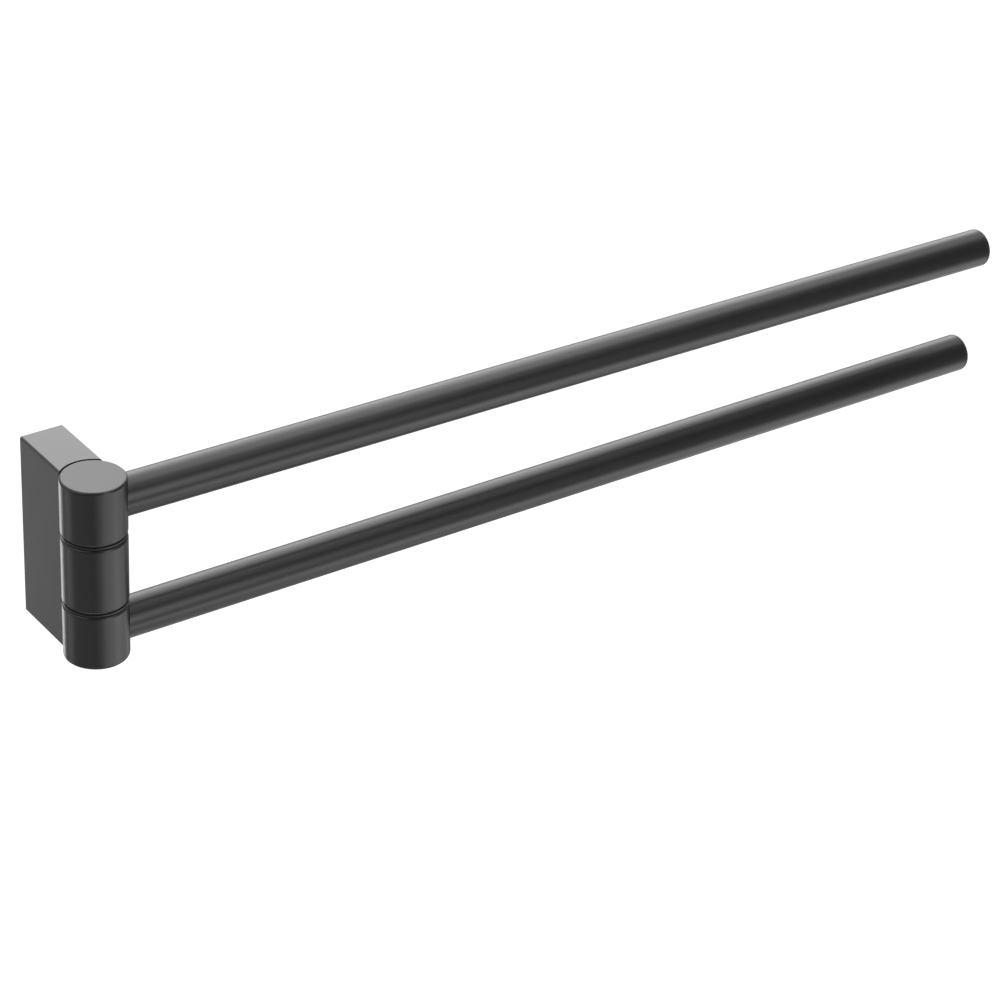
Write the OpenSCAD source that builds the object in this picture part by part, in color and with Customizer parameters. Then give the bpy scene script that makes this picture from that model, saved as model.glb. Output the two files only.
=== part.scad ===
// Swing arm towel bar: a wall block that carries a vertical hinge barrel with two arms.
// Origin: centre of the wall face. +X runs along the arms, +Y into the wall, +Z up.

/* [Hinge barrel] */
// Diameter of the barrel, which is the diameter of its three hubs
barrel_d = 25; // [24:0.5:30]
// Height of the barrel and of the wall block behind it
barrel_h = 76; // [72:1:110]
// Height of each arm hub as a share of the barrel's height
arm_hub_share = 0.3; // [0.28:0.005:0.34]
// Solid metal left at the closed end of each arm hub
hub_end_wall = 5; // [3:0.5:7]
// Radius of the rounded outer rim of each arm hub
rim_edge = 1; // [0.2:0.1:1.5]
// Radius of the rounded hub rims beside the seams
seam_edge = 1; // [0.2:0.1:1.5]

/* [Arms] */
// Distance from the hinge axis to the free end of each arm
arm_reach = 428; // [250:1:600]
// Outside diameter of the arm tubes
tube_d = 16; // [15:0.5:18]
// Wall thickness of the arm tubes
tube_wall = 1.5; // [1:0.1:2]
// Angle by which the upper arm stands open from the wall at rest, in degrees
upper_arm_open = 0.65; // [0:0.05:5]

/* [End caps] */
// Thickness of the cap outside the tube
cap_face_t = 1.6; // [1.3:0.1:3]
// Radius of the rounded edge of the cap
cap_edge_r = 1; // [0.3:0.1:1.2]
// Length of the plug inside the tube
cap_plug_l = 9; // [7:0.5:20]
// Wall of the hollow plug
cap_plug_wall = 1.8; // [1:0.1:3]
// Number of gripping ribs round the plug
cap_ribs = 2; // [1:1:3]
// How far each gripping rib stands out of the plug
cap_rib_h = 0.3; // [0.1:0.05:0.4]

/* [Arm spigots] */
// Length of the spigot inside the tube, measured from its seat in the hub
spigot_l = 30; // [20:1:60]
// Diameter of the threaded end that screws into the hub
spigot_thread_d = 10; // [8:0.5:10]
// Diameter of the bore that lightens the spigot
spigot_bore_d = 5; // [3:0.5:6]
// Depth of the flat seat for the spigot below the hub's round side
spigot_seat_depth = 0.2; // [0.1:0.1:0.5]
// Distance from the hub's side to the screw that holds the tube on its spigot
arm_screw_from_hub = 9; // [6:0.5:12]

/* [Hinge inside] */
// Diameter of the pivot axle
axle_d = 10; // [9:0.5:11]
// Wall of the bush between the axle and the hub
bush_wall = 1; // [0.8:0.1:1.2]
// Thickness of the flange of each bush
bush_flange_t = 0.4; // [0.3:0.1:1]
// Thickness of each thrust washer
thrust_washer_t = 0.7; // [0.5:0.1:1.5]
// Thickness of each friction ring
friction_ring_t = 0.5; // [0.3:0.1:1.2]
// How far the thrust washers lie inside the barrel's surface
washer_inset = 0.25; // [0.1:0.05:0.5]
// How far the bush flanges and friction rings lie inside the barrel's surface
seam_depth = 0.8; // [0.6:0.1:2]
// Width of the groove in the axle for the retaining screw's point
groove_w = 3; // [2.8:0.1:3.2]
// Depth of that groove
groove_depth = 1; // [0.6:0.1:1.2]
// Length of the plain axle end beyond its groove
axle_tip_l = 1.7; // [1:0.1:2.5]
// Radius of the axle's rounded ends
axle_edge = 0.6; // [0.2:0.1:0.9]
// Free space between the axle's end and the closed end of the hub
axle_end_gap = 0.8; // [0.4:0.1:1.5]

/* [Wall block] */
// Width of the block
block_w = 18; // [17:0.5:20]
// Distance from the wall to the hinge axis
block_reach = 39; // [36:1:60]
// Thickness of the block's two side walls
side_wall = 2; // [1.5:0.1:2.5]
// Thickness of the block's top and bottom walls
end_wall = 2.5; // [2:0.1:3.5]
// Thickness of the wall behind the deepest point of the barrel's seat
seat_wall = 3.5; // [3:0.1:5]
// Flat land left at each front corner beside the seat
seat_land = 0.2; // [0.1:0.05:0.5]
// Radius of the block's four rounded long edges
block_edge = 0.9; // [0.2:0.05:1.2]

/* [Wall plate] */
// Thickness of the sheet that the plate is bent from
plate_t = 2.5; // [2:0.1:3]
// Distance from the block's ends to the plate's ends
plate_end_gap = 9; // [8.5:0.5:10]
// Distance from the plate's ends to its wall screw holes
screw_from_end = 9; // [8:0.5:14]
// Diameter of the wall screw holes
screw_hole_d = 5.2; // [4:0.1:6]
// How far the hook stands out from the wall at the top of the plate
hook_l = 11; // [10:0.5:12]
// Height of the hook's lip
hook_lip_h = 3.5; // [2:0.5:4]
// Thickness of the tooth in the block that hangs behind the lip
tooth_t = 3.5; // [2.5:0.1:5]
// How far the lower tongue stands out from the wall
tongue_l = 10; // [9:0.5:12]
// Distance from the wall to the lock screw
lock_from_wall = 6; // [5:0.5:6.5]
// Diameter of the boss that the lock screw runs in
lock_boss_d = 8.5; // [7:0.5:9]
// Height of that boss above the block's bottom wall
lock_boss_h = 2.3; // [1:0.1:3]

/* [Screws] */
// Thread diameter of every screw in the part
screw_d = 4; // [3.5:0.1:4]
// Key size of the grub screws
grub_key = 2; // [1.5:0.1:2.2]
// Depth of the key sockets
key_depth = 2; // [1.5:0.1:2.5]
// Depth of each grub screw below the surface that it goes in through
grub_inset = 0.4; // [0.2:0.1:0.8]
// Diameter of the dog point of each retaining screw
dog_d = 2.4; // [2:0.1:2.6]
// Length of the lock screw
lock_screw_l = 12; // [11:0.5:13]
// Length of each arm screw
arm_screw_l = 8; // [6:0.5:10]
// Distance between the two hub bolts as a share of the middle hub's height
hub_bolt_share = 0.535; // [0.45:0.005:0.55]
// Length of the hub bolts under the head
hub_bolt_l = 20; // [18:0.5:20.5]
// Head diameter of the hub bolts
bolt_head_d = 7; // [6:0.1:7.5]
// Head height of the hub bolts
bolt_head_h = 4; // [3:0.1:5]
// Key size of the hub bolts
bolt_key = 3; // [2:0.1:3.2]
// Diameter of the washers under the bolt heads
bolt_washer_d = 9; // [8:0.5:10]
// Thickness of those washers
bolt_washer_t = 0.8; // [0.5:0.1:1.2]

/* [Clearances] */
// Between the axle and each bush, on the radius
running_gap = 0.05; // [0.02:0.01:0.09]
// Between pieces that are pressed or glued together
press_gap = 0.01; // [0.01:0.01:0.03]
// Between a thread and its hole
thread_gap = 0.02; // [0.01:0.01:0.05]
// Between the turning hubs and the seat in the block
seat_clear = 0.25; // [0.2:0.05:0.4]
// Between the fixed hub and its pad in the seat
pad_gap = 0.02; // [0.01:0.01:0.05]
// Between a screw and a plain hole that it passes through
hole_gap = 0.2; // [0.1:0.05:0.4]
// Between the axle and the parts round it that don't carry it
free_gap = 0.3; // [0.2:0.05:0.5]
// Between the wall plate and the block's side walls
plate_gap = 0.3; // [0.1:0.05:0.6]

/* [Hidden] */
$fn = 96;
// Overrun of every cut past the face that it opens
cut = 1;

barrel_r = barrel_d / 2;
barrel_top = barrel_h / 2;
axis_y = -block_reach;

// The stack of the barrel, counted outwards from its middle
hub_mouth = barrel_top - arm_hub_share * barrel_h;
washer_outer = hub_mouth - bush_flange_t;
washer_inner = washer_outer - thrust_washer_t;
middle_top = washer_inner - friction_ring_t;
arm_z = (hub_mouth + barrel_top) / 2;

// The axle and what turns on it
axle_r = axle_d / 2;
bore_top = barrel_top - hub_end_wall;
axle_top = bore_top - axle_end_gap;
groove_top = axle_top - axle_tip_l;
groove_mid = groove_top - groove_w / 2;
groove_r = axle_r - groove_depth;
bush_r = axle_r + running_gap + bush_wall;
bush_top = groove_mid - screw_d / 2 - axle_end_gap;
seam_r = barrel_r - seam_depth;
washer_r = barrel_r - washer_inset;

// The arm tube, its spigot and its screws
tube_r = tube_d / 2;
tube_bore_r = tube_r - tube_wall;
tube_end = arm_reach - cap_face_t;
spigot_r = tube_bore_r - press_gap;
spigot_seat = sqrt(pow(barrel_r, 2) - pow(tube_bore_r, 2)) - spigot_seat_depth;
spigot_start = bush_r + bush_wall;
arm_screw_x = barrel_r + arm_screw_from_hub;
screw_r = screw_d / 2;
retainer_head = sqrt(pow(barrel_r, 2) - pow(screw_r, 2)) - grub_inset;
retainer_neck = axle_r + free_gap + hole_gap;
retainer_tip = groove_r + hole_gap;

// The block and its seat
seat_r = barrel_r + seat_clear;
block_depth = block_reach - sqrt(pow(seat_r, 2) - pow(block_w / 2 - seat_land, 2));
cavity_depth = block_reach - seat_r - seat_wall;
cavity_w = block_w - 2 * side_wall;
cavity_top = barrel_top - end_wall;
pad_top = middle_top - friction_ring_t;
bolt_head_y = bolt_washer_t - cavity_depth;

// The wall plate
plate_top = barrel_top - plate_end_gap;
plate_w = cavity_w - 2 * plate_gap;

// Rectangle about the origin with its four corners rounded
module round_rectangle(w, h, r) {
    square([w - 2 * r, h], center = true);
    square([w, h - 2 * r], center = true);
    for (x = [-1, 1], y = [-1, 1])
        translate([x * (w / 2 - r), y * (h / 2 - r)])
            circle(r = r);
}

// Round bar about Z from low to high, with a rounded rim at each end
module turned_bar(r, low, high, low_rim, high_rim) {
    rotate_extrude() {
        translate([0, low + low_rim])
            square([r, high - high_rim - low - low_rim]);
        translate([0, low])
            square([r - low_rim, low_rim]);
        translate([0, high - high_rim])
            square([r - high_rim, high_rim]);
        translate([r - low_rim, low + low_rim])
            circle(r = low_rim);
        translate([r - high_rim, high - high_rim])
            circle(r = high_rim);
    }
}

// Bar about Z from low to high, used for bars and for round holes
module bar(r, low, high) {
    translate([0, 0, low])
        cylinder(r = r, h = high - low);
}

// Flat ring about Z
module ring(outer_r, inner_r, low, high) {
    difference() {
        bar(outer_r, low, high);
        bar(inner_r, low - cut, high + cut);
    }
}

// Turns a shape made along +Z so that it runs along +X, and lifts it to height z
module along_x(z) {
    translate([0, 0, z])
        rotate([0, 90, 0])
            children();
}

// Turns a shape made along +Z so that it runs along +Y, towards the wall
module towards_wall(x, z) {
    translate([x, 0, z])
        rotate([-90, 0, 0])
            children();
}

// Headless screw along +Z, its key socket at the high end
module grub(low, high) {
    difference() {
        bar(screw_r - thread_gap, low, high);
        translate([0, 0, high - key_depth])
            cylinder(d = grub_key / cos(30), h = key_depth + cut, $fn = 6);
    }
}

// Moves what is made about the hinge axis into place on the barrel
module on_axis() {
    translate([0, axis_y, 0])
        children();
}

// The upper arm turns about the hinge axis by its opening at rest
module as_upper() {
    on_axis()
        rotate([0, 0, -upper_arm_open])
            children();
}

// The lower arm is the upper one turned over
module as_lower() {
    on_axis()
        mirror([0, 0, 1])
            children();
}

// Heights of the two hub bolts
module at_hub_bolts() {
    for (side = [-1, 1])
        translate([0, 0, side * hub_bolt_share * middle_top])
            children();
}

// Hub at the root of an arm: blind bore for the axle, seat for the spigot, one screw hole
module arm_hub() {
    difference() {
        turned_bar(barrel_r, hub_mouth, barrel_top, seam_edge, rim_edge);
        bar(bush_r + press_gap, hub_mouth - cut, bush_top);
        bar(axle_r + free_gap, hub_mouth - cut, bore_top);
        along_x(arm_z)
            bar(tube_bore_r, spigot_seat, barrel_r + cut);
        along_x(arm_z)
            bar(spigot_thread_d / 2, 0, barrel_r);
        towards_wall(0, groove_mid)
            bar(screw_r, 0, barrel_r + cut);
    }
}

// Plastic bush that carries the hub on the axle, its flange under the hub's mouth
module arm_bush() {
    difference() {
        union() {
            bar(bush_r, washer_outer, bush_top);
            bar(seam_r, washer_outer, hub_mouth);
        }
        bar(axle_r + running_gap, washer_outer - cut, bush_top + cut);
    }
}

// Screw in the back of the hub, with a plain point that stands in the axle's groove
module retaining_screw() {
    towards_wall(0, groove_mid) {
        grub(retainer_neck, retainer_head);
        bar(dog_d / 2, retainer_tip, retainer_neck + cut);
    }
}

// Turned core between hub and tube: threaded into the hub, glued into the tube
module arm_spigot() {
    difference() {
        along_x(arm_z)
            union() {
                bar(spigot_thread_d / 2 - thread_gap, spigot_start, spigot_seat + cut);
                bar(spigot_r, spigot_seat, spigot_seat + spigot_l);
            }
        along_x(arm_z)
            bar(spigot_bore_d / 2, arm_screw_x + screw_d, spigot_seat + spigot_l + cut);
        towards_wall(arm_screw_x, arm_z)
            bar(screw_r, tube_r - grub_inset - arm_screw_l - hole_gap, tube_r);
    }
}

// Arm tube, its root cut to sit on the round side of the hub
module arm_tube() {
    difference() {
        along_x(arm_z)
            ring(tube_r, tube_bore_r, 0, tube_end);
        bar(barrel_r + press_gap, hub_mouth, barrel_top);
        towards_wall(arm_screw_x, arm_z)
            bar(screw_r + hole_gap, 0, tube_r + cut);
    }
}

// Screw in the spigot whose outer end stands in a hole in the tube, on the wall side
module arm_screw() {
    towards_wall(arm_screw_x, arm_z)
        grub(tube_r - grub_inset - arm_screw_l, tube_r - grub_inset);
}

// Round outline of the end cap, from the axis outwards, its face at the top
module cap_outline() {
    square([tube_r - cap_edge_r, cap_face_t]);
    square([tube_r, cap_face_t - cap_edge_r]);
    translate([tube_r - cap_edge_r, cap_face_t - cap_edge_r])
        circle(r = cap_edge_r);
}

// Cap that closes the free end of a tube: rounded face, hollow plug, gripping ribs
module end_cap_at_tube() {
    rib_pitch = cap_plug_l / (cap_ribs + 1);
    plug_r = tube_bore_r - press_gap - cap_rib_h;
    along_x(arm_z)
        translate([0, 0, tube_end]) {
            rotate_extrude()
                intersection() {
                    cap_outline();
                    square([tube_r, cap_face_t]);
                }
            ring(plug_r, plug_r - cap_plug_wall, -cap_plug_l, 0);
            for (rib = [1 : cap_ribs])
                translate([0, 0, -rib * rib_pitch])
                    ring(plug_r + cap_rib_h, plug_r - cap_plug_wall / 2, -cap_rib_h, cap_rib_h);
        }
}

// Steel plate on the wall: flat back, hook with a lip at the top, tongue at the bottom
module wall_plate() {
    color("silver")
        difference() {
            translate([plate_w / 2, 0, 0])
                rotate([90, 0, -90])
                    linear_extrude(height = plate_w)
                        polygon([
                            [0, -plate_top], [tongue_l, -plate_top],
                            [tongue_l, plate_t - plate_top], [plate_t, plate_t - plate_top],
                            [plate_t, plate_top - plate_t], [hook_l, plate_top - plate_t],
                            [hook_l, plate_top + hook_lip_h],
                            [hook_l - plate_t, plate_top + hook_lip_h],
                            [hook_l - plate_t, plate_top], [0, plate_top]
                        ]);
            for (side = [-1, 1])
                towards_wall(0, side * (plate_top - screw_from_end))
                    bar(screw_hole_d / 2, -plate_t - cut, cut);
            translate([0, -lock_from_wall, 0])
                bar(screw_r + hole_gap, -plate_top - cut, plate_t - plate_top + cut);
        }
}

// Cast block: open at the back, round seat for the barrel in front
module block_housing() {
    color("#59595b")
        difference() {
            union() {
                difference() {
                    rotate([90, 0, 0])
                        linear_extrude(height = block_depth)
                            round_rectangle(block_w, barrel_h, block_edge);
                    block_cavity();
                }
                block_tooth();
                block_boss();
            }
            block_seat();
            translate([0, -lock_from_wall, 0])
                bar(screw_r, -barrel_top - cut, -cavity_top + lock_boss_h + cut);
            at_hub_bolts()
                towards_wall(0, 0)
                    bar(screw_r + hole_gap, axis_y, -cavity_depth + cut);
        }
}

// Hollow of the block, open towards the wall
module block_cavity() {
    translate([-cavity_w / 2, -cavity_depth, -cavity_top])
        cube([cavity_w, cavity_depth + cut, 2 * cavity_top]);
}

// Tooth across the hollow that rests on the plate's hook, behind its lip
module block_tooth() {
    tooth_front = hook_l - plate_t - hole_gap;
    translate([-block_w / 2 + side_wall / 2, -tooth_front, plate_top])
        cube([block_w - side_wall, tooth_t, barrel_top - end_wall / 2 - plate_top]);
}

// Boss on the bottom wall for the lock screw's thread
module block_boss() {
    translate([0, -lock_from_wall, 0])
        bar(lock_boss_d / 2, -barrel_top + end_wall / 2, -cavity_top + lock_boss_h);
}

// Round seat: clear of the two turning hubs, close on the fixed one
module block_seat() {
    on_axis() {
        bar(barrel_r + pad_gap, -barrel_top - cut, barrel_top + cut);
        bar(seat_r, pad_top, barrel_top + cut);
        bar(seat_r, -barrel_top - cut, -pad_top);
    }
}

// Grub screw up through the block's bottom wall into the plate's tongue
module lock_screw() {
    color("#2b2b2c")
        translate([0, -lock_from_wall, 0])
            mirror([0, 0, 1])
                grub(barrel_top - grub_inset - lock_screw_l, barrel_top - grub_inset);
}

// Two cap screws from inside the block, through the fixed hub and into the axle
module hub_bolts() {
    color("#8d8f92")
        at_hub_bolts()
            towards_wall(0, 0)
                difference() {
                    union() {
                        bar(screw_r - thread_gap, bolt_head_y - hub_bolt_l, bolt_head_y + cut);
                        bar(bolt_head_d / 2, bolt_head_y, bolt_head_y + bolt_head_h);
                    }
                    translate([0, 0, bolt_head_y + bolt_head_h - key_depth])
                        cylinder(d = bolt_key / cos(30), h = key_depth + cut, $fn = 6);
                }
}

// Washers between the bolt heads and the block's seat wall
module hub_bolt_washers() {
    color("#a9abad")
        at_hub_bolts()
            towards_wall(0, 0)
                ring(bolt_washer_d / 2, screw_r + hole_gap, -cavity_depth, bolt_head_y);
}

// Fixed hub in the middle of the barrel
module middle_hub() {
    color("#59595b")
        on_axis()
            difference() {
                turned_bar(barrel_r, -middle_top, middle_top, seam_edge, seam_edge);
                bar(axle_r + press_gap, -middle_top - cut, middle_top + cut);
                at_hub_bolts()
                    towards_wall(0, 0)
                        bar(screw_r + hole_gap, 0, barrel_r + cut);
            }
}

// Steel axle through all three hubs, with a groove near each end and two tapped holes
module pivot_axle() {
    tapped_depth = bolt_head_y - hub_bolt_l - hole_gap - axis_y;
    color("silver")
        on_axis()
            difference() {
                turned_bar(axle_r, -axle_top, axle_top, axle_edge, axle_edge);
                ring(axle_r + cut, groove_r, groove_top - groove_w, groove_top);
                ring(axle_r + cut, groove_r, -groove_top, groove_w - groove_top);
                at_hub_bolts()
                    towards_wall(0, 0)
                        bar(screw_r, tapped_depth, axle_r + cut);
            }
}

// Rubber ring that holds an arm where it is put
module friction_ring() {
    ring(seam_r, axle_r + free_gap, middle_top, washer_inner);
}

// Thin metal washer that the bush's flange turns on
module thrust_washer() {
    ring(washer_r, axle_r + free_gap, washer_inner, washer_outer);
}

module upper_friction_ring() {
    color("#1b1b1c")
        on_axis()
            friction_ring();
}

module lower_friction_ring() {
    color("#1b1b1c")
        as_lower()
            friction_ring();
}

module upper_thrust_washer() {
    color("#59595b")
        on_axis()
            thrust_washer();
}

module lower_thrust_washer() {
    color("#59595b")
        as_lower()
            thrust_washer();
}

module upper_hub() {
    color("#59595b")
        as_upper()
            arm_hub();
}

module upper_bush() {
    color("#262627")
        as_upper()
            arm_bush();
}

module upper_retaining_screw() {
    color("#2b2b2c")
        as_upper()
            retaining_screw();
}

module upper_spigot() {
    color("#a9abad")
        as_upper()
            arm_spigot();
}

module upper_arm_tube() {
    color("#59595b")
        as_upper()
            arm_tube();
}

module upper_arm_screw() {
    color("#2b2b2c")
        as_upper()
            arm_screw();
}

module upper_end_cap() {
    color("#59595b")
        as_upper()
            end_cap_at_tube();
}

module lower_hub() {
    color("#59595b")
        as_lower()
            arm_hub();
}

module lower_bush() {
    color("#262627")
        as_lower()
            arm_bush();
}

module lower_retaining_screw() {
    color("#2b2b2c")
        as_lower()
            retaining_screw();
}

module lower_spigot() {
    color("#a9abad")
        as_lower()
            arm_spigot();
}

module lower_arm_tube() {
    color("#59595b")
        as_lower()
            arm_tube();
}

module lower_arm_screw() {
    color("#2b2b2c")
        as_lower()
            arm_screw();
}

module lower_end_cap() {
    color("#59595b")
        as_lower()
            end_cap_at_tube();
}

wall_plate();
block_housing();
lock_screw();
hub_bolts();
hub_bolt_washers();
middle_hub();
pivot_axle();
upper_friction_ring();
lower_friction_ring();
upper_thrust_washer();
lower_thrust_washer();
upper_hub();
upper_bush();
upper_retaining_screw();
upper_spigot();
upper_arm_tube();
upper_arm_screw();
upper_end_cap();
lower_hub();
lower_bush();
lower_retaining_screw();
lower_spigot();
lower_arm_tube();
lower_arm_screw();
lower_end_cap();
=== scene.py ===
import math

import bmesh
import bpy
from mathutils import Matrix, Vector


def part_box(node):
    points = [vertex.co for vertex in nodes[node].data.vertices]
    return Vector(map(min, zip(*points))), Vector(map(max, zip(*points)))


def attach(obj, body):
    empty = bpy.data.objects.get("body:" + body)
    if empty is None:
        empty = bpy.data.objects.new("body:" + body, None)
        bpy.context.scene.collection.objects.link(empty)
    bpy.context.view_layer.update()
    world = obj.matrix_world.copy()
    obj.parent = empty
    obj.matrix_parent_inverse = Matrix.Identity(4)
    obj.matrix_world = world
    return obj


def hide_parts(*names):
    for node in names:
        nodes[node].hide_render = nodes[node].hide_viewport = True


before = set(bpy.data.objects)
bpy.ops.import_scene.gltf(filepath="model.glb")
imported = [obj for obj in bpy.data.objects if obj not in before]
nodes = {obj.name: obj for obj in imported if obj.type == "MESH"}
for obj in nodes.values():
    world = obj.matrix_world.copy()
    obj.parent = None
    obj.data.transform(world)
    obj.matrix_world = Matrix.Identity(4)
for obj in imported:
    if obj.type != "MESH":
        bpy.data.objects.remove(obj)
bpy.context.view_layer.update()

# Wall plate: 2.5 mm steel strip, bent to a hook at the top and a tongue at the bottom, and zinc
# plated. Two wall screws hold it, the block hangs on its hook, and the lock screw enters its
# tongue.
MM = 0.001
plate_low, plate_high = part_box("wall_plate")
plate_t = 2.5 * MM
plate_hook_y = -11 * MM
plate_tongue_y = -10 * MM
plate_back_top = 29 * MM
plate_bend = 1.7 * MM
plate_bend_steps = 6
plate_edge = 0.2 * MM
wall_screw_r = 2.6 * MM
wall_screw_z = 20 * MM
lock_screw_y = -6 * MM
lock_hole_r = 2.2 * MM
hole_sides = 64
TINY = 0.01 * MM


def add_node(tree, kind, settings=None, inputs=None):
    """Adds a shader node, with its settings, and with each input's value or link."""
    made = tree.nodes.new(kind)
    for name, value in (settings or {}).items():
        setattr(made, name, value)
    for name, value in (inputs or {}).items():
        if isinstance(value, bpy.types.NodeSocket):
            tree.links.new(value, made.inputs[name])
        else:
            made.inputs[name].default_value = value
    return made


def linear(code):
    """Linear colour of an sRGB hex code."""
    shares = [int(code[start:start + 2], 16) / 255 for start in (1, 3, 5)]
    return [c / 12.92 if c <= 0.04045 else ((c + 0.055) / 1.055) ** 2.4 for c in shares] + [1]


def new_material(name):
    """An empty material with its shader and the object's own coordinates."""
    made = bpy.data.materials.new(name)
    made.use_nodes = True
    tree = made.node_tree
    place = add_node(tree, "ShaderNodeTexCoord").outputs["Object"]
    return made, tree, tree.nodes["Principled BSDF"], place


def worn_edges(tree, radius):
    """1 on an edge and 0 away from it, from how far a rounded normal turns there."""
    rounded = add_node(tree, "ShaderNodeBevel", {"samples": 6}, {"Radius": radius})
    surface = add_node(tree, "ShaderNodeNewGeometry")
    along = add_node(tree, "ShaderNodeVectorMath", {"operation": "DOT_PRODUCT"}, {
        0: rounded.outputs["Normal"], 1: surface.outputs["Normal"]})
    return add_node(tree, "ShaderNodeMapRange", inputs={
        "Value": along.outputs["Value"], "From Min": 0.995, "From Max": 0.8}).outputs["Result"]


def select_only(piece):
    """Selects one object and nothing else, and makes it the active one."""
    bpy.ops.object.select_all(action="DESELECT")
    piece.select_set(True)
    bpy.context.view_layer.objects.active = piece


def added(name):
    """Names the primitive just added, and puts its place and size into its mesh."""
    piece = bpy.context.object
    piece.name = name
    piece.data.name = name
    bpy.ops.object.transform_apply(location=True, rotation=True, scale=True)
    return piece


def add_block(name, low, high):
    """Rectangular block between two corners."""
    bpy.ops.object.select_all(action="DESELECT")
    low, high = Vector(low), Vector(high)
    bpy.ops.mesh.primitive_cube_add(size=1, location=(low + high) / 2, scale=high - low)
    return added(name)


def add_bar(name, axis, radius, start, end, sides=128):
    """Round bar along an axis, between two points given by their place on it."""
    bpy.ops.object.select_all(action="DESELECT")
    start, end = Vector(start), Vector(end)
    turn = {"X": (0, math.pi / 2, 0), "Y": (math.pi / 2, 0, 0), "Z": (0, 0, 0)}[axis]
    bpy.ops.mesh.primitive_cylinder_add(
        vertices=sides, radius=radius, depth=(end - start).length,
        location=(start + end) / 2, rotation=turn)
    return added(name)


def edit(piece, kind, test):
    """Enters edit mode with only those faces or edges selected that pass the test."""
    select_only(piece)
    bpy.ops.object.mode_set(mode="EDIT")
    bpy.ops.mesh.select_mode(type=kind)
    bpy.ops.mesh.select_all(action="DESELECT")
    shape = bmesh.from_edit_mesh(piece.data)
    for part in shape.edges if kind == "EDGE" else shape.faces:
        if test(part):
            part.select_set(True)
    shape.select_flush_mode()
    bmesh.update_edit_mesh(piece.data)


def leave():
    """Leaves edit mode."""
    bpy.ops.object.mode_set(mode="OBJECT")


def draw_out(x, y, z):
    """Extrudes what is selected by a step along each axis."""
    bpy.ops.mesh.extrude_region_move(TRANSFORM_OT_translate={"value": (x, y, z)})


def middle(part):
    """Middle point of an edge or a face."""
    points = [vertex.co for vertex in part.verts]
    return sum(points, Vector()) / len(points)


def round_edges(piece, test, width, steps):
    """Rounds the edges that pass the test."""
    edit(piece, "EDGE", test)
    bpy.ops.mesh.bevel(offset=width, segments=steps, profile=0.5, affect="EDGES")
    leave()


def apply_modifier(piece, kind, **settings):
    """Adds a modifier with its settings, and applies it."""
    select_only(piece)
    modifier = piece.modifiers.new(kind.lower(), kind)
    for name, value in settings.items():
        setattr(modifier, name, value)
    bpy.ops.object.modifier_apply(modifier=modifier.name)


def cut(piece, tool, operation="DIFFERENCE"):
    """Takes the tool's shape out of the piece, or joins it on, and removes the tool."""
    apply_modifier(piece, "BOOLEAN", object=tool, operation=operation, solver="EXACT")
    bpy.data.objects.remove(tool)


def round_all(piece, width, steps=2):
    """Rounds every edge that turns by more than 30 degrees."""
    apply_modifier(piece, "BEVEL", width=width, segments=steps, limit_method="ANGLE",
                   angle_limit=math.radians(30), use_clamp_overlap=True)


def dress(piece, material, body, node):
    """Smooths the piece except on edges that turn by more than 50 degrees, gives it its
    material, and lets it stand for its node on its body."""
    select_only(piece)
    bpy.ops.object.shade_smooth_by_angle(angle=math.radians(50))
    apply_modifier(piece, "WEIGHTED_NORMAL", keep_sharp=True)
    piece.data.materials.clear()
    piece.data.materials.append(material)
    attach(piece, body)
    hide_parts(node)


def dress_node(node, material):
    """Gives a node of the part its material."""
    nodes[node].data.materials.clear()
    nodes[node].data.materials.append(material)


# Bright zinc plate on steel, as laid down in a barrel bath: bluish, with soft clouds 6 mm wide
# and the fine rolling lines of the strip below it, drawn 0.25 mm apart so that they show.
zinc, tree, shader, place = new_material("bright_zinc_plated_steel")
clouds = add_node(tree, "ShaderNodeTexNoise", inputs={
    "Vector": place, "Scale": 1 / (6 * MM), "Detail": 4}).outputs["Fac"]
stretch = add_node(tree, "ShaderNodeMapping", inputs={
    "Vector": place, "Scale": (1 / (0.25 * MM), 1 / (0.25 * MM), 1 / (12 * MM))})
rolling = add_node(tree, "ShaderNodeTexNoise", inputs={
    "Vector": stretch.outputs["Vector"], "Scale": 1, "Detail": 2}).outputs["Fac"]
tint = add_node(tree, "ShaderNodeMix", {"data_type": "RGBA"}, {
    0: clouds, 6: linear("#a9aeb4"), 7: linear("#c2c6c9")})
tree.links.new(tint.outputs[2], shader.inputs["Base Color"])
dullness = add_node(tree, "ShaderNodeMapRange", inputs={
    "Value": clouds, "To Min": 0.36, "To Max": 0.52})
tree.links.new(dullness.outputs["Result"], shader.inputs["Roughness"])
rolled = add_node(tree, "ShaderNodeBump", inputs={
    "Height": rolling, "Strength": 1, "Distance": 0.003 * MM})
tree.links.new(rolled.outputs["Normal"], shader.inputs["Normal"])
shader.inputs["Metallic"].default_value = 1

bpy.ops.object.select_all(action="DESELECT")
plate_width = plate_high.x - plate_low.x
bpy.ops.mesh.primitive_plane_add(
    size=plate_width, location=(0, -plate_t / 2, 0), rotation=(math.pi / 2, 0, 0))
plate = added("wall_plate_bent")
strip_end = plate_back_top - plate_t / 2
edit(plate, "FACE", lambda face: True)
bpy.ops.transform.resize(value=(1, 1, 2 * strip_end / plate_width), center_override=(0, 0, 0))
leave()
edit(plate, "EDGE", lambda edge: middle(edge).z > strip_end - TINY)
draw_out(0, plate_t + plate_hook_y, 0)
draw_out(0, 0, plate_high.z - strip_end)
leave()
edit(plate, "EDGE", lambda edge: middle(edge).z < -strip_end + TINY)
draw_out(0, plate_t / 2 + plate_tongue_y, 0)
leave()
round_edges(plate, lambda edge: len(edge.link_faces) == 2, plate_bend, plate_bend_steps)
apply_modifier(plate, "SOLIDIFY", thickness=plate_t, offset=0, use_even_offset=True)
edit(plate, "FACE", lambda face: True)
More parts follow.
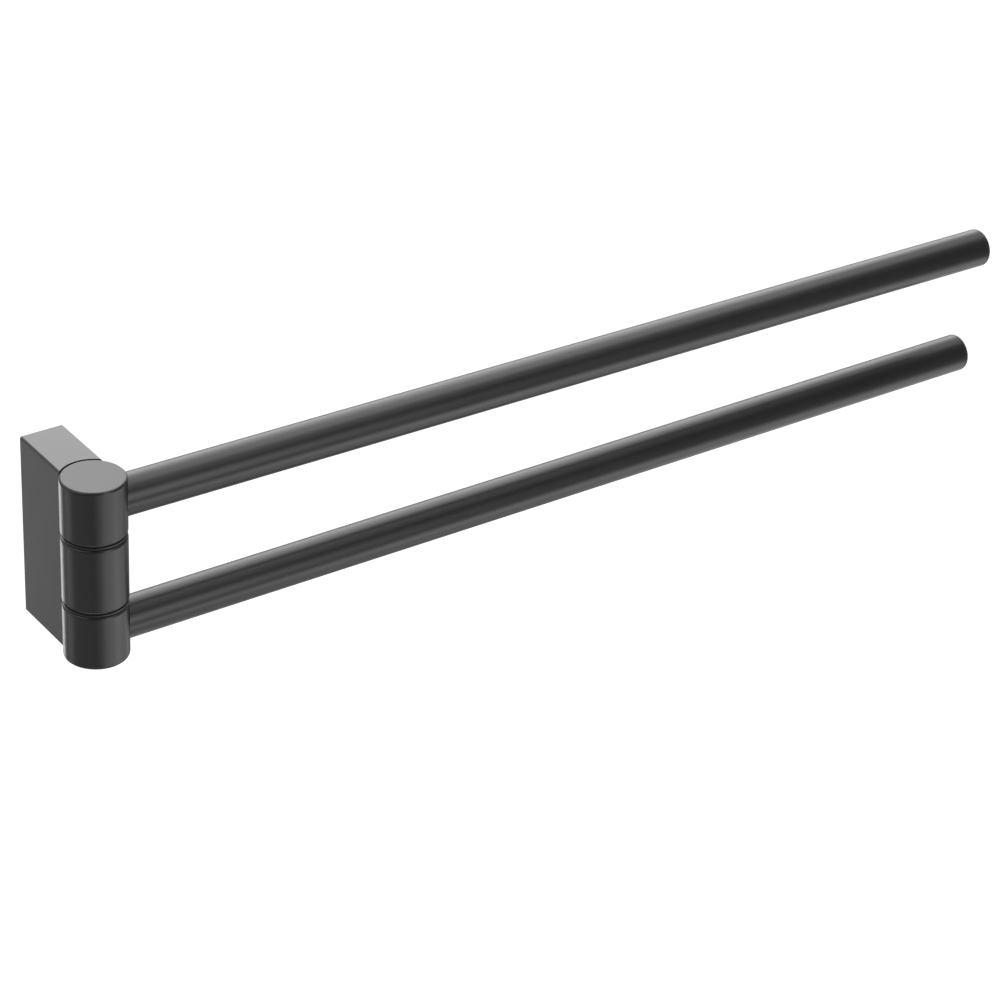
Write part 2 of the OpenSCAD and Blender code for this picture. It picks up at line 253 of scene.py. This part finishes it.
bpy.ops.mesh.normals_make_consistent(inside=False)
leave()
for side in (-1, 1):
    cut(plate, add_bar("hole", "Y", wall_screw_r, (0, -2 * plate_t, side * wall_screw_z),
                       (0, plate_t, side * wall_screw_z), hole_sides))
cut(plate, add_bar("hole", "Z", lock_hole_r, (0, lock_screw_y, -strip_end - plate_t),
                   (0, lock_screw_y, -strip_end + plate_t), hole_sides))
round_all(plate, plate_edge)
dress(plate, zinc, "base", "wall_plate")

# Block housing: cast zinc, hollow and open at the back, with a tooth inside that hangs on the
# hook. Its front is bored out for the barrel, closer in the middle, where two bolts hold the
# fixed hub. The whole block is lacquered.
block_low, block_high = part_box("block_housing")
block_edge = 0.9 * MM
block_edge_steps = 3
block_side_wall = 2 * MM
block_end_wall = 2.5 * MM
cavity_depth = 22.75 * MM
tooth_low = (-8 * MM, -8.3 * MM, 29 * MM)
tooth_high = (8 * MM, -4.8 * MM, 36.75 * MM)
boss_r = 4.25 * MM
boss_z = (-36.75 * MM, -33.2 * MM)
thread_r = 2 * MM
hinge_y = -39 * MM
seat_r = 12.75 * MM
pad_r = 12.52 * MM
pad_z = 13.1 * MM
hub_bolt_z = 7.28 * MM
bolt_hole_r = 2.2 * MM
barrel_sides = 192
small_hole_sides = 48
fine_edge = 0.12 * MM

# Satin anthracite lacquer, sprayed over blasted metal and stoved: a dark grey film, even in
# colour, with a low orange peel 1.3 mm wide, and a grain from its matting powder. The powder's
# real grain of 0.02 mm is too fine to show, so it is drawn 0.3 mm wide. On the edges the film
# runs thin, and use has polished it a little.


def add_lacquer(name, ior):
    """Satin lacquer whose gloss depends on the film's refraction."""
    made, tree, shader, place = new_material(name)
    clouds = add_node(tree, "ShaderNodeTexNoise", inputs={
        "Vector": place, "Scale": 1 / (18 * MM), "Detail": 3}).outputs["Fac"]
    peel = add_node(tree, "ShaderNodeTexNoise", inputs={
        "Vector": place, "Scale": 1 / (1.3 * MM), "Detail": 1}).outputs["Fac"]
    grain = add_node(tree, "ShaderNodeTexNoise", inputs={
        "Vector": place, "Scale": 1 / (0.3 * MM), "Detail": 2}).outputs["Fac"]
    edges = worn_edges(tree, 0.5 * MM)
    film = add_node(tree, "ShaderNodeMix", {"data_type": "RGBA"}, {
        0: clouds, 6: linear("#262627"), 7: linear("#2a2a2b")})
    thinned = add_node(tree, "ShaderNodeMapRange", inputs={"Value": edges, "To Max": 0.5})
    worn = add_node(tree, "ShaderNodeMix", {"data_type": "RGBA"}, {
        0: thinned.outputs["Result"], 6: film.outputs[2], 7: linear("#4b4b4c")})
    tree.links.new(worn.outputs[2], shader.inputs["Base Color"])
    powder = add_node(tree, "ShaderNodeMapRange", inputs={
        "Value": grain, "To Min": 0.27, "To Max": 0.37})
    patches = add_node(tree, "ShaderNodeMapRange", inputs={
        "Value": clouds, "To Min": -0.02, "To Max": 0.02})
    dullness = add_node(tree, "ShaderNodeMath", {"operation": "ADD"}, {
        0: powder.outputs["Result"], 1: patches.outputs["Result"]})
    rubbed = add_node(tree, "ShaderNodeMapRange", inputs={"Value": edges, "To Max": 0.06})
    polished = add_node(tree, "ShaderNodeMath", {"operation": "SUBTRACT"}, {
        0: dullness.outputs[0], 1: rubbed.outputs["Result"]})
    tree.links.new(polished.outputs[0], shader.inputs["Roughness"])
    peeled = add_node(tree, "ShaderNodeBump", inputs={
        "Height": peel, "Strength": 1, "Distance": 0.004 * MM})
    grained = add_node(tree, "ShaderNodeBump", inputs={
        "Height": grain, "Strength": 1, "Distance": 0.0012 * MM,
        "Normal": peeled.outputs["Normal"]})
    tree.links.new(grained.outputs["Normal"], shader.inputs["Normal"])
    shader.inputs["IOR"].default_value = ior
    return made


# The turned and drawn pieces carry a thin coat. The casting took a thicker one, which flowed out
# and shines a little more.
lacquer = add_lacquer("satin_anthracite_lacquer", 1.5)
cast_lacquer = add_lacquer("satin_anthracite_lacquer_on_casting", 1.62)

block = add_block("block_cast", block_low, (block_high.x, 0, block_high.z))
edit(block, "FACE", lambda face: middle(face).y > -TINY)
bpy.ops.mesh.inset(thickness=block_side_wall)
inner_height = block_high.z - block_low.z - 2 * block_side_wall
cavity_height = block_high.z - block_low.z - 2 * block_end_wall
bpy.ops.transform.resize(value=(1, 1, cavity_height / inner_height),
                         center_override=(0, 0, 0))
draw_out(0, -cavity_depth, 0)
leave()
round_edges(block, lambda edge: abs(middle(edge).x) > block_high.x - TINY
            and abs(middle(edge).z) > block_high.z - TINY, block_edge, block_edge_steps)
cut(block, add_block("tooth", tooth_low, tooth_high), "UNION")
cut(block, add_bar("boss", "Z", boss_r, (0, lock_screw_y, boss_z[0]),
                   (0, lock_screw_y, boss_z[1]), hole_sides), "UNION")
cut(block, add_bar("seat", "Z", pad_r, (0, hinge_y, 2 * block_low.z),
                   (0, hinge_y, 2 * block_high.z), barrel_sides))
for side in (-1, 1):
    cut(block, add_bar("seat", "Z", seat_r, (0, hinge_y, side * pad_z),
                       (0, hinge_y, side * 2 * block_high.z), barrel_sides))
    cut(block, add_bar("hole", "Y", bolt_hole_r, (0, hinge_y, side * hub_bolt_z),
                       (0, -cavity_depth / 2, side * hub_bolt_z), small_hole_sides))
cut(block, add_bar("hole", "Z", thread_r, (0, lock_screw_y, 2 * block_low.z),
                   (0, lock_screw_y, 0), small_hole_sides))
round_all(block, fine_edge)
dress(block, cast_lacquer, "base", "block_housing")

# Grub screws: steel, hardened and blackened in oil, with a hexagon socket and broken edges.
# One locks the block to the plate, two hold the hubs on the axle and two hold the tubes.
grub_r = 1.98 * MM
grub_sides = 48
grub_edge = 0.3 * MM
grub_fine_edge = 0.06 * MM
grub_key = 2 * MM
grub_key_depth = 2 * MM
dog_r = 1.2 * MM
dog_l = 1.3 * MM
grub_inset = 0.4 * MM
lock_screw_l = 12 * MM

# Black oxide on hardened steel: nearly black, faintly blue, and mottled where the oil took.
black_oxide, tree, shader, place = new_material("black_oxide_steel")
mottle = add_node(tree, "ShaderNodeTexNoise", inputs={
    "Vector": place, "Scale": 1 / (0.8 * MM), "Detail": 4}).outputs["Fac"]
edges = worn_edges(tree, 0.15 * MM)
oxide = add_node(tree, "ShaderNodeMix", {"data_type": "RGBA"}, {
    0: mottle, 6: linear("#2a2a2d"), 7: linear("#3a3a3c")})
thinned = add_node(tree, "ShaderNodeMapRange", inputs={"Value": edges, "To Max": 0.6})
worn = add_node(tree, "ShaderNodeMix", {"data_type": "RGBA"}, {
    0: thinned.outputs["Result"], 6: oxide.outputs[2], 7: linear("#77777a")})
tree.links.new(worn.outputs[2], shader.inputs["Base Color"])
dullness = add_node(tree, "ShaderNodeMapRange", inputs={
    "Value": mottle, "To Min": 0.34, "To Max": 0.52})
tree.links.new(dullness.outputs["Result"], shader.inputs["Roughness"])
shader.inputs["Metallic"].default_value = 1


def add_grub(name, length, with_dog):
    """Grub screw along +Y, its socket end at y 0."""
    screw = add_bar(name, "Y", grub_r, (0, 0, 0), (0, -length, 0), grub_sides)
    if with_dog:
        edit(screw, "FACE", lambda face: middle(face).y < -length + TINY)
        bpy.ops.mesh.inset(thickness=grub_r - dog_r)
        draw_out(0, -dog_l, 0)
        leave()
    round_edges(screw, lambda edge: abs(middle(edge).y) < TINY or
                abs(middle(edge).y + length) < TINY
                and middle(edge).xz.length > (grub_r + dog_r) / 2, grub_edge, 2)
    cut(screw, add_bar("key", "Y", grub_key / 2 / math.cos(math.radians(30)),
                       (0, -grub_key_depth, 0), (0, grub_key_depth, 0), 6))
    round_all(screw, grub_fine_edge, 1)
    return screw


lock_screw = add_grub("lock_screw_grub", lock_screw_l, False)
lock_screw.data.transform(
    Matrix.Translation((0, lock_screw_y, block_low.z + grub_inset))
    @ Matrix.Rotation(-math.pi / 2, 4, "X"))
dress(lock_screw, black_oxide, "base", "lock_screw")

# Hub bolts: two stainless cap screws from inside the block, through the fixed hub into the axle,
# each on a zinc plated washer. Both lie in the closed hollow of the block.
# Turned stainless steel: the lathe's feed leaves lines about the axis, 0.2 mm apart.


def wave_scale(spacing):
    """Scale of a wave texture with its bands that far apart: it turns 20 radians in a unit."""
    return math.tau / 20 / spacing


stainless, tree, shader, place = new_material("turned_stainless_steel")
feed = add_node(tree, "ShaderNodeTexWave", {"bands_direction": "Z"}, {
    "Vector": place, "Scale": wave_scale(0.2 * MM), "Distortion": 1.5, "Detail": 2})
dullness = add_node(tree, "ShaderNodeMapRange", inputs={
    "Value": feed.outputs["Fac"], "To Min": 0.2, "To Max": 0.34})
tree.links.new(dullness.outputs["Result"], shader.inputs["Roughness"])
turned = add_node(tree, "ShaderNodeBump", inputs={
    "Height": feed.outputs["Fac"], "Strength": 1, "Distance": 0.002 * MM})
tree.links.new(turned.outputs["Normal"], shader.inputs["Normal"])
shader.inputs["Base Color"].default_value = linear("#bdbcba")
shader.inputs["Metallic"].default_value = 1
dress_node("hub_bolts", stainless)
dress_node("hub_bolt_washers", zinc)

# Fixed hub: the middle third of the barrel, sawn from 25 mm steel bar, bored, faced and
# lacquered. Its rims are rounded, which draws the two seams, and its back rests on the block's
# pad.
hub_r = 12.5 * MM
middle_hub_z = 13.6 * MM
axle_bore_r = 5.01 * MM
bore_sides = 96
seam_edge = 1 * MM
rim_steps = 5


def on_rim(edge, height):
    """Whether an edge of a hub lies on its rim at a height."""
    spot = middle(edge)
    from_axis = math.hypot(spot.x, spot.y - hinge_y)
    return abs(spot.z - height) < TINY and from_axis > hub_r - TINY


middle_hub = add_bar("middle_hub_turned", "Z", hub_r, (0, hinge_y, -middle_hub_z),
                     (0, hinge_y, middle_hub_z), barrel_sides)
for height in (-middle_hub_z, middle_hub_z):
    round_edges(middle_hub, lambda edge: on_rim(edge, height), seam_edge, rim_steps)
cut(middle_hub, add_bar("bore", "Z", axle_bore_r, (0, hinge_y, -2 * middle_hub_z),
                        (0, hinge_y, 2 * middle_hub_z), bore_sides))
for side in (-1, 1):
    cut(middle_hub, add_bar("hole", "Y", bolt_hole_r, (0, hinge_y, side * hub_bolt_z),
                            (0, 0, side * hub_bolt_z), small_hole_sides))
dress(middle_hub, lacquer, "base", "middle_hub")

# Pivot axle: stainless bar through all three hubs, with a turned groove near each end. The hub
# bolts hold it, and both arms turn on it, so nothing of it shows.
dress_node("pivot_axle", stainless)

# Friction rings: moulded nitrile rubber, pinched between hub and washer. They brake the arms,
# and only their dark edges show, deep in the seams.
# Nitrile rubber: near black, dull and slightly dusty, with fine pits 0.25 mm apart.
rubber, tree, shader, place = new_material("black_nitrile_rubber")
pits = add_node(tree, "ShaderNodeTexNoise", inputs={
    "Vector": place, "Scale": 1 / (0.25 * MM), "Detail": 3}).outputs["Fac"]
dust = add_node(tree, "ShaderNodeMix", {"data_type": "RGBA"}, {
    0: pits, 6: linear("#2a2a2a"), 7: linear("#353534")})
tree.links.new(dust.outputs[2], shader.inputs["Base Color"])
dullness = add_node(tree, "ShaderNodeMapRange", inputs={
    "Value": pits, "To Min": 0.7, "To Max": 0.9})
tree.links.new(dullness.outputs["Result"], shader.inputs["Roughness"])
pitted = add_node(tree, "ShaderNodeBump", inputs={
    "Height": pits, "Strength": 1, "Distance": 0.01 * MM})
tree.links.new(pitted.outputs["Normal"], shader.inputs["Normal"])
shader.inputs["IOR"].default_value = 1.52
dress_node("upper_friction_ring", rubber)
dress_node("lower_friction_ring", rubber)

# Thrust washers: thin steel rings, turned, and lacquered like the hubs. Each lies between a
# rubber ring and a bush's flange, and shows as the light line in its seam.
washer_r = 12.25 * MM
washer_bore_r = 5.3 * MM
washer_low = 14.1 * MM
washer_high = 14.8 * MM
washer_edge = 0.12 * MM
washer = add_bar("washer", "Z", washer_r, (0, hinge_y, washer_low), (0, hinge_y, washer_high),
                 barrel_sides)
cut(washer, add_bar("bore", "Z", washer_bore_r, (0, hinge_y, 0), (0, hinge_y, 2 * washer_high),
                    bore_sides))
round_all(washer, washer_edge)
turned_over = Matrix.Diagonal((1, 1, -1, 1))


def copy_of(piece, name, matrix):
    """A copy with its own mesh, moved by a matrix."""
    made = piece.copy()
    made.data = piece.data.copy()
    made.name = made.data.name = name
    bpy.context.scene.collection.objects.link(made)
    made.data.transform(matrix)
    if matrix.determinant() < 0:
        edit(made, "FACE", lambda face: True)
        bpy.ops.mesh.flip_normals()
        leave()
    return made


for end, matrix in (("upper", Matrix.Identity(4)), ("lower", turned_over)):
    dress(copy_of(washer, end + "_thrust_washer_lacquered", matrix),
          lacquer, "base", end + "_thrust_washer")
bpy.data.objects.remove(washer)

# Arm hubs: the outer thirds of the barrel, of the same bar, with a blind bore for the axle.
# A flat seat on the side takes the arm's spigot, and a tapped hole takes the retaining screw.
hub_mouth = 15.2 * MM
hub_top = 38 * MM
arm_z = 26.6 * MM
rim_edge = 1 * MM
bush_bore_r = 6.06 * MM
bush_top = 26.2 * MM
axle_free_r = 5.3 * MM
bore_top = 33 * MM
spigot_seat_x = 10.48 * MM
spigot_r = 6.5 * MM
spigot_thread_r = 5 * MM
retainer_z = 29 * MM
hinge = Vector((0, hinge_y, 0))
upper_open = math.radians(-0.65)
opened = (Matrix.Translation(hinge) @ Matrix.Rotation(upper_open, 4, "Z")
          @ Matrix.Translation(-hinge))
arms = (("upper", opened), ("lower", turned_over))


def for_both_arms(piece, finish, part, material):
    """Puts a copy of a piece on each arm in place of its node, and removes the first one."""
    for arm, matrix in arms:
        dress(copy_of(piece, f"{arm}_{part}_{finish}", matrix), material,
              f"{arm}_arm", f"{arm}_{part}")
    bpy.data.objects.remove(piece)


hub = add_bar("hub", "Z", hub_r, (0, hinge_y, hub_mouth), (0, hinge_y, hub_top), barrel_sides)
round_edges(hub, lambda edge: on_rim(edge, hub_top), rim_edge, rim_steps)
round_edges(hub, lambda edge: on_rim(edge, hub_mouth), seam_edge, rim_steps)
cut(hub, add_bar("bore", "Z", bush_bore_r, (0, hinge_y, 0), (0, hinge_y, bush_top), bore_sides))
cut(hub, add_bar("bore", "Z", axle_free_r, (0, hinge_y, 0), (0, hinge_y, bore_top), bore_sides))
cut(hub, add_bar("seat", "X", spigot_r, (spigot_seat_x, hinge_y, arm_z),
                 (2 * hub_r, hinge_y, arm_z), bore_sides))
cut(hub, add_bar("thread", "X", spigot_thread_r, (0, hinge_y, arm_z),
                 (2 * hub_r, hinge_y, arm_z), hole_sides))
cut(hub, add_bar("hole", "Y", thread_r, (0, hinge_y, retainer_z),
                 (0, hinge_y + 2 * hub_r, retainer_z), small_hole_sides))
for_both_arms(hub, "turned", "hub", lacquer)

# Bushes: black acetal, turned, pressed into the hubs. Their flanges show as the dark upper line
# of the top seam and the dark lower line of the bottom one.
# Acetal: near black, waxy, with the fine rings of the turning tool, 0.2 mm apart.
acetal, tree, shader, place = new_material("black_acetal")
rings = add_node(tree, "ShaderNodeTexWave", {"bands_direction": "Z"}, {
    "Vector": place, "Scale": wave_scale(0.2 * MM), "Distortion": 1})
dullness = add_node(tree, "ShaderNodeMapRange", inputs={
    "Value": rings.outputs["Fac"], "To Min": 0.36, "To Max": 0.5})
tree.links.new(dullness.outputs["Result"], shader.inputs["Roughness"])
shader.inputs["Base Color"].default_value = linear("#2e2e2f")
shader.inputs["IOR"].default_value = 1.48
dress_node("upper_bush", acetal)
dress_node("lower_bush", acetal)

# Retaining screws: grub screws with a plain point, in the hub's back, standing in the axle's
# groove. They sink 0.4 mm below the hub's side and come into sight when an arm swings out.
retainer_head = 11.94 * MM
retainer_l = 6.44 * MM
retainer = add_grub("retainer", retainer_l, True)
retainer.data.transform(Matrix.Translation((0, hinge_y + retainer_head, retainer_z)))
for_both_arms(retainer, "grub", "retaining_screw", black_oxide)

# Spigots: turned steel cores, drilled through and zinc plated, screwed into the hubs' sides and
# glued into the tubes, which hide them.
dress_node("upper_spigot", zinc)
dress_node("lower_spigot", zinc)

# Arm tubes: 16 mm round steel tube with a 1.5 mm wall, the root cut to the hub's round side.
# A hole on the wall side gives the key its way to the arm screw. Lacquered with the hubs.
tube_r = 8 * MM
tube_bore_r = 6.5 * MM
tube_end = 426.4 * MM
saddle_r = 12.51 * MM
root_edge = 0.15 * MM
root_edge_steps = 2
tube_joint_edge = 0.12 * MM
tube_joint_steps = 2
arm_screw_x = 21.5 * MM
arm_hole_r = 2.2 * MM
arm_hole_reach = 5 * MM
tube = add_bar("tube", "X", tube_r, (0, hinge_y, arm_z), (tube_end, hinge_y, arm_z))
edit(tube, "FACE", lambda face: abs(face.normal.x) > 0.9)
bpy.ops.mesh.inset(thickness=tube_r - tube_bore_r)
bpy.ops.mesh.delete(type="FACE")
leave()
edit(tube, "EDGE", lambda edge: len(edge.link_faces) == 1)
bpy.ops.mesh.bridge_edge_loops()
leave()
for vertex in tube.data.vertices:
    if vertex.co.x < TINY:
        vertex.co.x = math.sqrt(saddle_r ** 2 - (vertex.co.y - hinge_y) ** 2)


def on_tube_side(edge):
    """Whether both ends of an edge lie on the tube's outside."""
    return all(abs(math.hypot(vertex.co.y - hinge_y, vertex.co.z - arm_z) - tube_r) < TINY
               for vertex in edge.verts)


round_edges(tube, lambda edge: on_tube_side(edge) and middle(edge).x < saddle_r + TINY,
            root_edge, root_edge_steps)
round_edges(tube, lambda edge: on_tube_side(edge) and middle(edge).x > tube_end - TINY,
            tube_joint_edge, tube_joint_steps)

# The tube's long faces are parted on both sides of the hole, so that its shading stays even.
for place_x in (arm_screw_x - arm_hole_reach, arm_screw_x + arm_hole_reach):
    edit(tube, "FACE", lambda face: True)
    bpy.ops.mesh.bisect(plane_co=(place_x, 0, 0), plane_no=(1, 0, 0))
    leave()
cut(tube, add_bar("hole", "Y", arm_hole_r, (arm_screw_x, hinge_y, arm_z),
                  (arm_screw_x, 0, arm_z), small_hole_sides))
for_both_arms(tube, "drawn", "arm_tube", lacquer)

# Arm screws: blackened grub screws in the spigots, whose heads stand in the holes of the tubes
# and keep them from turning or coming off.
arm_screw_l = 8 * MM
arm_screw = add_grub("arm_screw", arm_screw_l, False)
arm_screw.data.transform(
    Matrix.Translation((arm_screw_x, hinge_y + tube_r - grub_inset, arm_z)))
for_both_arms(arm_screw, "grub", "arm_screw", black_oxide)

# End caps: cast zinc, lacquered, with a rounded edge and a hollow plug with two gripping ribs.
# Each is pressed into its tube, and a hair line shows where the two meet.
cap_end = 428 * MM
cap_edge = 1 * MM
cap_edge_steps = 6
cap_plug_r = 6.19 * MM
cap_plug_inner_r = 4.39 * MM
cap_plug_l = 9 * MM
cap_rib_r = 6.49 * MM
cap_rib_l = 0.6 * MM
cap_rib_gap = 2.4 * MM
cap_rib_inset = (cap_plug_l - cap_rib_gap - 2 * cap_rib_l) / 2
cap_plug_steps = (
    (cap_rib_inset, cap_plug_r), (0, cap_rib_r), (cap_rib_l, cap_rib_r), (0, cap_plug_r),
    (cap_rib_gap, cap_plug_r), (0, cap_rib_r), (cap_rib_l, cap_rib_r), (0, cap_plug_r),
    (cap_rib_inset, cap_plug_r))
cap = add_bar("cap", "X", tube_r, (tube_end, hinge_y, arm_z), (cap_end, hinge_y, arm_z))
round_edges(cap, lambda edge: middle(edge).x > cap_end - TINY, cap_edge, cap_edge_steps)
round_edges(cap, lambda edge: middle(edge).x < tube_end + TINY, tube_joint_edge,
            tube_joint_steps)
edit(cap, "FACE", lambda face: middle(face).x < tube_end + TINY and face.normal.x < -0.9)
bpy.ops.mesh.inset(thickness=tube_r - tube_joint_edge - cap_plug_r)
radius = cap_plug_r
for length, new_radius in cap_plug_steps:
    draw_out(-length, 0, 0)
    share = new_radius / radius
    bpy.ops.transform.resize(value=(1, share, share), center_override=(tube_end, hinge_y, arm_z))
    radius = new_radius
bpy.ops.mesh.inset(thickness=cap_plug_r - cap_plug_inner_r)
draw_out(cap_plug_l, 0, 0)
leave()
for_both_arms(cap, "cast", "end_cap", lacquer)

# Floor: pale, 1.3 m below the bar, as under a towel bar on a wall. The camera sees it in full
# light as white, and it keeps the bar's shadow.
floor_z = -1.3
floor_size = 40


def seen_by_camera(tree):
    """1 for rays that come from the camera, also through glass, and 0 for all others."""
    rays = add_node(tree, "ShaderNodeLightPath")
    return add_node(tree, "ShaderNodeMath", {"operation": "MAXIMUM"}, {
        0: rays.outputs["Is Camera Ray"], 1: rays.outputs["Is Transmission Ray"]}).outputs[0]


bpy.ops.object.select_all(action="DESELECT")
bpy.ops.mesh.primitive_plane_add(size=floor_size, location=(0, 0, floor_z))
floor = added("floor")
pale, tree, shader, place = new_material("pale_floor")
tree.nodes.remove(shader)
matt = add_node(tree, "ShaderNodeBsdfDiffuse", inputs={"Color": linear("#b0b0b0")})
glow = add_node(tree, "ShaderNodeMapRange", inputs={
    "Value": seen_by_camera(tree), "To Max": 0.85})
lift = add_node(tree, "ShaderNodeEmission", inputs={
    "Color": linear("#ffffff"), "Strength": glow.outputs["Result"]})
both = add_node(tree, "ShaderNodeAddShader", inputs={
    0: matt.outputs[0], 1: lift.outputs[0]})
tree.links.new(both.outputs[0], tree.nodes["Material Output"].inputs["Surface"])
floor.data.materials.append(pale)

# Studio: white paper all round behind the bar, and a dim room in front of it. The camera sees
# white on every side. Gloss sees the paper as white too, and the room as grey.
world = bpy.data.worlds.new("studio")
bpy.context.scene.world = world
world.use_nodes = True
tree = world.node_tree
direction = add_node(tree, "ShaderNodeSeparateXYZ", inputs={
    "Vector": add_node(tree, "ShaderNodeTexCoord").outputs["Generated"]})
paper = add_node(tree, "ShaderNodeMapRange", {"interpolation_type": "SMOOTHSTEP"}, {
    "Value": direction.outputs["Y"], "From Min": -0.3, "From Max": 0.6,
    "To Min": 0.05, "To Max": 1})
strength = add_node(tree, "ShaderNodeMix", inputs={
    0: seen_by_camera(tree), 2: paper.outputs["Result"], 3: 1})
background = tree.nodes["Background"]
background.inputs["Color"].default_value = linear("#ffffff")
tree.links.new(strength.outputs[0], background.inputs["Strength"])

# Soft boxes round the bar: name, place on the bar that each one faces, compass turn from +X
# towards the wall, height angle, distance, width, height, and brightness as a multiple of white
# paper's.
softboxes = (
    ("key_behind", 0.2, 60, 30, 1.8, 1.4, 1.5, 2.35),
    ("key_left", 0.2, 78, 33, 1.8, 0.6, 0.6, 0.9),
    ("key_top", 0.2, 60, 66, 1.8, 0.9, 0.9, 0.9),
    ("over_arms", 0.2, 0, 61, 1.8, 0.7, 1, 2.2),
    ("over_ends", 0.2, 30, 54, 1.8, 0.7, 0.7, 1.1),
    ("over_left", 0.2, 180, 50, 1.8, 1, 1, 1.6),
    ("front_top", 0.2, -60, 62, 1.8, 1.2, 1.2, 0.95),
    ("front_high", 0.2, -80, 22, 1.8, 0.7, 0.7, 2.4),
    ("front", 0.2, -80, 6, 1.8, 0.8, 0.8, 2.8),
    ("below_barrel_wide", 0, -58, -31, 0.75, 1.6, 0.3, 0.8),
    ("below_barrel", 0, -62, -31, 0.75, 0.7, 0.3, 0.85),
    ("below_barrel_end", 0, 6, -31, 0.75, 0.3, 0.3, 0.6),
    ("below_camera", 0, -166, -31, 0.75, 0.9, 0.3, 0.18),
    ("below_arms", 0.2, -35, -50, 1.2, 0.7, 0.7, 0.6),
    ("below_behind", 0.2, 103, -27, 1.8, 0.5, 0.6, 3.1),
    ("below_left", 0.2, 150, -25, 1.8, 0.6, 0.6, 0.9),
    ("under_barrel", 0, 0, -90, 0.9, 0.7, 0.7, 1.6),
)
for name, along, compass, height, distance, width, tall, brightness in softboxes:
    compass, height = math.radians(compass), math.radians(height)
    outward = Vector((math.cos(compass) * math.cos(height),
                      math.sin(compass) * math.cos(height), math.sin(height)))
    bpy.ops.object.light_add(
        type="AREA", location=Vector((along, hinge_y, 0)) + distance * outward,
        rotation=outward.to_track_quat("Z", "Y").to_euler())
    softbox = bpy.context.object
    softbox.name = softbox.data.name = name
    softbox.data.shape = "RECTANGLE"
    softbox.data.size, softbox.data.size_y = width, tall
    softbox.data.energy = brightness * math.pi * width * tall
    softbox.visible_camera = False

# Camera: 117 mm lens from 1.2 m, from the front left and above, as fitted to the photograph.
# Its place is given from the hinge, by steps back, to the right and up in its own view.
camera_azimuth, camera_elevation, camera_roll = (math.radians(a) for a in (-36.56, 30.651, 2.971))
camera_lens = 117.452
camera_back_by, camera_right_by, camera_up_by = 1.19798, 0.14728, 0.0318
back = Vector((math.sin(camera_azimuth) * math.cos(camera_elevation),
               -math.cos(camera_azimuth) * math.cos(camera_elevation),
               math.sin(camera_elevation)))
level_right = Vector((0, 0, 1)).cross(back).normalized()
level_up = back.cross(level_right)
spot = hinge + back * camera_back_by + level_right * camera_right_by + level_up * camera_up_by
turn = Matrix((level_right, level_up, back)).transposed() @ Matrix.Rotation(camera_roll, 3, "Z")
bpy.ops.object.camera_add(location=spot, rotation=turn.to_euler())
camera = bpy.context.object
camera.name = "photo_camera"
camera.data.sensor_width = 36
camera.data.lens = camera_lens
bpy.context.scene.camera = camera

bpy.context.scene.view_settings.view_transform = "Standard"
